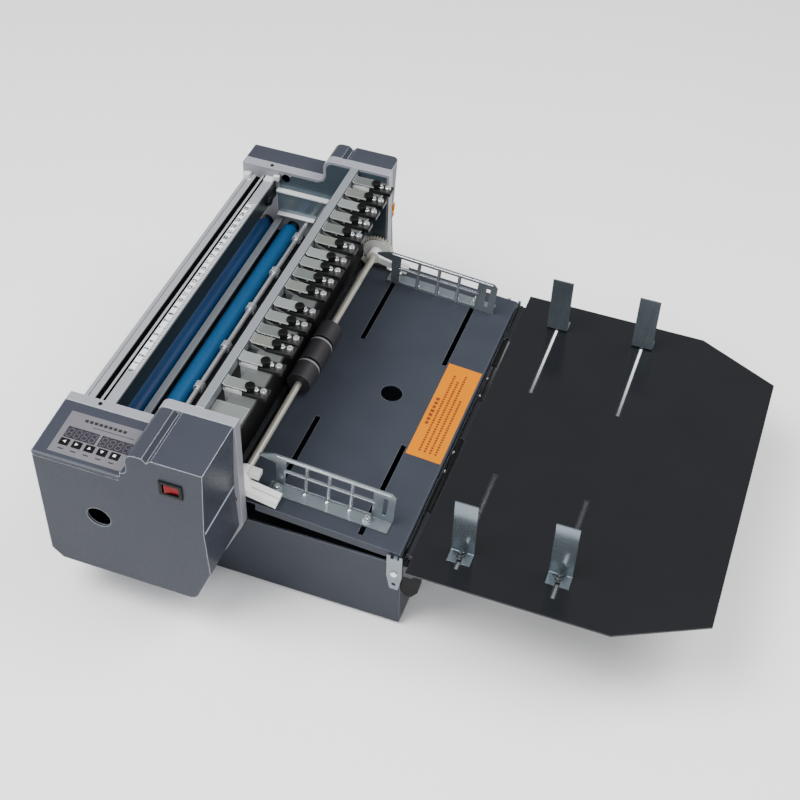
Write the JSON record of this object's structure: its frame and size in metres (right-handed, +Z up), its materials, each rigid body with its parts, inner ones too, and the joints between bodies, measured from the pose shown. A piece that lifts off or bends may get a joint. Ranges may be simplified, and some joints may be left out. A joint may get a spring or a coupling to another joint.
{
  "type": "label slitter",
  "caption": "Desktop slitter for label sheets: feed table with side guides and paper tray, roller head with a row of sliding knife holders, grey end covers with a control panel",
  "frame": {"origin": "centre of the bounding box, at floor level", "axes": "+X from the head towards the paper tray, +Y along the rollers away from the control panel side, +Z up"},
  "size_m": [0.576, 0.4634, 0.216],
  "materials": {
    "box_paint": "satin slate paint",
    "cover_paint": "satin grey paint",
    "plate_paint": "light grey paint",
    "table_paint": "satin dark slate paint",
    "tray_paint": "satin black paint",
    "black_sheet": "matt black paint",
    "anodised": "natural anodised",
    "steel": "ground",
    "holder_steel": "plated",
    "zinc": "zinc plated",
    "bronze": "plain",
    "motor_black": "matt black",
    "board": "solder mask",
    "black_plastic": "moulded",
    "red_plastic": "moulded, translucent red",
    "white_plastic": "moulded",
    "gear_plastic": "moulded",
    "foot_rubber": "plain",
    "roller_rubber": "ground",
    "blue_rubber": "ground bright blue",
    "dark_blue_rubber": "ground dark blue"
  },
  "bodies": {
    "frame": {"chassis": "box_paint", "near_side_plate": "plate_paint", "far_side_plate": "plate_paint", "near_cover": "cover_paint", "far_cover": "cover_paint", "rear_profile": "anodised", "cross_bars": "anodised", "knife_bed": "steel", "sheet_guides": "black_sheet", "hinge_brackets": "zinc", "motor": "motor_black", "control_board": "board", "rocker_bezel": "black_plastic", "bearings": "bronze", "screws": "zinc", "feet": "foot_rubber", "power_supply": "motor_black"},
    "anvil": {"anvil_roller": "steel", "anvil_gears": "gear_plastic"},
    "front_roller": {"front_roller": "blue_rubber"},
    "rear_roller": {"rear_roller": "dark_blue_rubber"},
    "collar_shaft": {"collar_shaft": "steel"},
    "motor_pinion": {"motor_pinion": "bronze"},
    "transfer_gear": {"transfer_gear": "gear_plastic"},
    "idler_gear": {"idler_gear": "gear_plastic"},
    "feed": {"feed_shaft": "steel", "feed_rollers": "roller_rubber"},
    "feed_table": {"feed_table": "table_paint"},
    "near_guide": {"near_guide": "zinc"},
    "far_guide": {"far_guide": "zinc"},
    "paper_tray": {"paper_tray": "tray_paint"},
    "stop_near_in": {"stop_near_in": "zinc"},
    "stop_near_out": {"stop_near_out": "zinc"},
    "stop_far_in": {"stop_far_in": "zinc"},
    "stop_far_out": {"stop_far_out": "zinc"},
    "button_1": {"button_1": "black_plastic"},
    "button_2": {"button_2": "black_plastic"},
    "button_3": {"button_3": "black_plastic"},
    "button_4": {"button_4": "black_plastic"},
    "button_5": {"button_5": "black_plastic"},
    "rocker": {"rocker": "red_plastic"},
    "near_lever": {"near_lever": "white_plastic"},
    "far_lever": {"far_lever": "white_plastic"},
    "knife_01": {"knife_01": "holder_steel"},
    "knife_02": {"knife_02": "holder_steel"},
    "knife_03": {"knife_03": "holder_steel"},
    "knife_04": {"knife_04": "holder_steel"},
    "knife_05": {"knife_05": "holder_steel"},
    "knife_06": {"knife_06": "holder_steel"},
    "knife_07": {"knife_07": "holder_steel"},
    "knife_08": {"knife_08": "holder_steel"},
    "knife_09": {"knife_09": "holder_steel"},
    "knife_10": {"knife_10": "holder_steel"},
    "knife_11": {"knife_11": "holder_steel"},
    "knife_12": {"knife_12": "holder_steel"},
    "knife_13": {"knife_13": "holder_steel"},
    "knife_14": {"knife_14": "holder_steel"},
    "knife_15": {"knife_15": "holder_steel"},
    "knife_16": {"knife_16": "holder_steel"}
  },
  "joints": [
    {"name": "anvil_spin", "type": "hinge", "parent": "frame", "child": "anvil", "pos_m": [-0.15847, 0.01925, 0.098], "axis": [0, 1, 0], "continuous": true},
    {"name": "pinion_spin", "type": "hinge", "parent": "frame", "child": "motor_pinion", "pos_m": [-0.18047, -0.18025, 0.098], "axis": [0, 1, 0], "continuous": true},
    {"name": "transfer_spin", "type": "hinge", "parent": "frame", "child": "transfer_gear", "pos_m": [-0.21045, -0.18025, 0.09902], "axis": [0, 1, 0], "continuous": true},
    {"name": "front_spin", "type": "hinge", "parent": "frame", "child": "front_roller", "pos_m": [-0.232, 0.01925, 0.1213], "axis": [0, 1, 0], "continuous": true},
    {"name": "idler_spin", "type": "hinge", "parent": "frame", "child": "idler_gear", "pos_m": [-0.247, -0.18025, 0.11135], "axis": [0, 1, 0], "continuous": true},
    {"name": "rear_spin", "type": "hinge", "parent": "frame", "child": "rear_roller", "pos_m": [-0.262, 0.01925, 0.1213], "axis": [0, 1, 0], "continuous": true},
    {"name": "feed_spin", "type": "hinge", "parent": "frame", "child": "feed", "pos_m": [-0.135, 0.01925, 0.1226], "axis": [0, 1, 0], "continuous": true},
    {"name": "collar_spin", "type": "hinge", "parent": "frame", "child": "collar_shaft", "pos_m": [-0.213, 0.01925, 0.136], "axis": [0, 1, 0], "continuous": true},
    {"name": "table_swing", "type": "hinge", "parent": "frame", "child": "feed_table", "pos_m": [0.0145, 0.01925, 0.092], "axis": [0, 1, 0], "range_deg": [-6, 0], "stiffness_Nm_per_rad": 3, "springref_deg": 17.19},
    {"name": "near_guide_slide", "type": "slide", "parent": "feed_table", "child": "near_guide", "axis": [0, 1, 0], "range_m": [-0.003, 0.08]},
    {"name": "far_guide_slide", "type": "slide", "parent": "feed_table", "child": "far_guide", "axis": [0, 1, 0], "range_m": [-0.08, 0.003]},
    {"name": "tray_fold", "type": "hinge", "parent": "frame", "child": "paper_tray", "pos_m": [0.0242, 0.01925, 0.0952], "axis": [0, -1, 0], "range_deg": [0, 60]},
    {"name": "stop_near_in_slide", "type": "slide", "parent": "paper_tray", "child": "stop_near_in", "axis": [0, 1, 0], "range_m": [-0.01, 0.095]},
    {"name": "stop_near_out_slide", "type": "slide", "parent": "paper_tray", "child": "stop_near_out", "axis": [0, 1, 0], "range_m": [-0.015, 0.088]},
    {"name": "stop_far_in_slide", "type": "slide", "parent": "paper_tray", "child": "stop_far_in", "axis": [0, 1, 0], "range_m": [-0.095, 0.01]},
    {"name": "stop_far_out_slide", "type": "slide", "parent": "paper_tray", "child": "stop_far_out", "axis": [0, 1, 0], "range_m": [-0.1, 0.005]},
    {"name": "button_1_press", "type": "slide", "parent": "frame", "child": "button_1", "axis": [0, 0.083, -0.9965], "range_m": [0, 0.001], "stiffness_N_per_m": 300},
    {"name": "button_2_press", "type": "slide", "parent": "frame", "child": "button_2", "axis": [0, 0.083, -0.9965], "range_m": [0, 0.001], "stiffness_N_per_m": 300},
    {"name": "button_3_press", "type": "slide", "parent": "frame", "child": "button_3", "axis": [0, 0.083, -0.9965], "range_m": [0, 0.001], "stiffness_N_per_m": 300},
    {"name": "button_4_press", "type": "slide", "parent": "frame", "child": "button_4", "axis": [0, 0.083, -0.9965], "range_m": [0, 0.001], "stiffness_N_per_m": 300},
    {"name": "button_5_press", "type": "slide", "parent": "frame", "child": "button_5", "axis": [0, 0.083, -0.9965], "range_m": [0, 0.001], "stiffness_N_per_m": 300},
    {"name": "rocker_tip", "type": "hinge", "parent": "frame", "child": "rocker", "pos_m": [-0.157, -0.22725, 0.1884], "axis": [0, 0, 1], "range_deg": [-16, 0]},
    {"name": "near_lever_lift", "type": "hinge", "parent": "frame", "child": "near_lever", "pos_m": [-0.135, -0.15025, 0.1226], "axis": [0, -1, 0], "range_deg": [0, 60]},
    {"name": "far_lever_lift", "type": "hinge", "parent": "frame", "child": "far_lever", "pos_m": [-0.135, 0.18375, 0.1226], "axis": [0, -1, 0], "range_deg": [0, 60]},
    {"name": "knife_01_slide", "type": "slide", "parent": "frame", "child": "knife_01", "axis": [0, 1, 0], "range_m": [-0.004, 0.0015]},
    {"name": "knife_02_slide", "type": "slide", "parent": "frame", "child": "knife_02", "axis": [0, 1, 0], "range_m": [-0.003, 0.004]},
    {"name": "knife_03_slide", "type": "slide", "parent": "frame", "child": "knife_03", "axis": [0, 1, 0], "range_m": [-0.0035, 0.003]},
    {"name": "knife_04_slide", "type": "slide", "parent": "frame", "child": "knife_04", "axis": [0, 1, 0], "range_m": [-0.0035, 0.0035]},
    {"name": "knife_05_slide", "type": "slide", "parent": "frame", "child": "knife_05", "axis": [0, 1, 0], "range_m": [-0.003, 0.0035]},
    {"name": "knife_06_slide", "type": "slide", "parent": "frame", "child": "knife_06", "axis": [0, 1, 0], "range_m": [-0.004, 0.003]},
    {"name": "knife_07_slide", "type": "slide", "parent": "frame", "child": "knife_07", "axis": [0, 1, 0], "range_m": [-0.001, 0.004]},
    {"name": "knife_08_slide", "type": "slide", "parent": "frame", "child": "knife_08", "axis": [0, 1, 0], "range_m": [-0.002, 0.001]},
    {"name": "knife_09_slide", "type": "slide", "parent": "frame", "child": "knife_09", "axis": [0, 1, 0], "range_m": [-0.0025, 0.002]},
    {"name": "knife_10_slide", "type": "slide", "parent": "frame", "child": "knife_10", "axis": [0, 1, 0], "range_m": [-0.0065, 0.0025]},
    {"name": "knife_11_slide", "type": "slide", "parent": "frame", "child": "knife_11", "axis": [0, 1, 0], "range_m": [-0.003, 0.0065]},
    {"name": "knife_12_slide", "type": "slide", "parent": "frame", "child": "knife_12", "axis": [0, 1, 0], "range_m": [-0.003, 0.003]},
    {"name": "knife_13_slide", "type": "slide", "parent": "frame", "child": "knife_13", "axis": [0, 1, 0], "range_m": [-0.0005, 0.003]},
    {"name": "knife_14_slide", "type": "slide", "parent": "frame", "child": "knife_14", "axis": [0, 1, 0], "range_m": [-0.0055, 0.0005]},
    {"name": "knife_15_slide", "type": "slide", "parent": "frame", "child": "knife_15", "axis": [0, 1, 0], "range_m": [-0.01, 0.0055]},
    {"name": "knife_16_slide", "type": "slide", "parent": "frame", "child": "knife_16", "axis": [0, 1, 0], "range_m": [-0.01, 0.01]}
  ],
  "couplings": [
    {"joint": "pinion_spin", "follows": "anvil_spin", "ratio": -1.75},
    {"joint": "transfer_spin", "follows": "anvil_spin", "ratio": 0.63636},
    {"joint": "front_spin", "follows": "anvil_spin", "ratio": -1.5556},
    {"joint": "idler_spin", "follows": "anvil_spin", "ratio": 1.5556},
    {"joint": "rear_spin", "follows": "anvil_spin", "ratio": -1.5556},
    {"joint": "feed_spin", "follows": "anvil_spin", "ratio": -1.125}
  ]
}
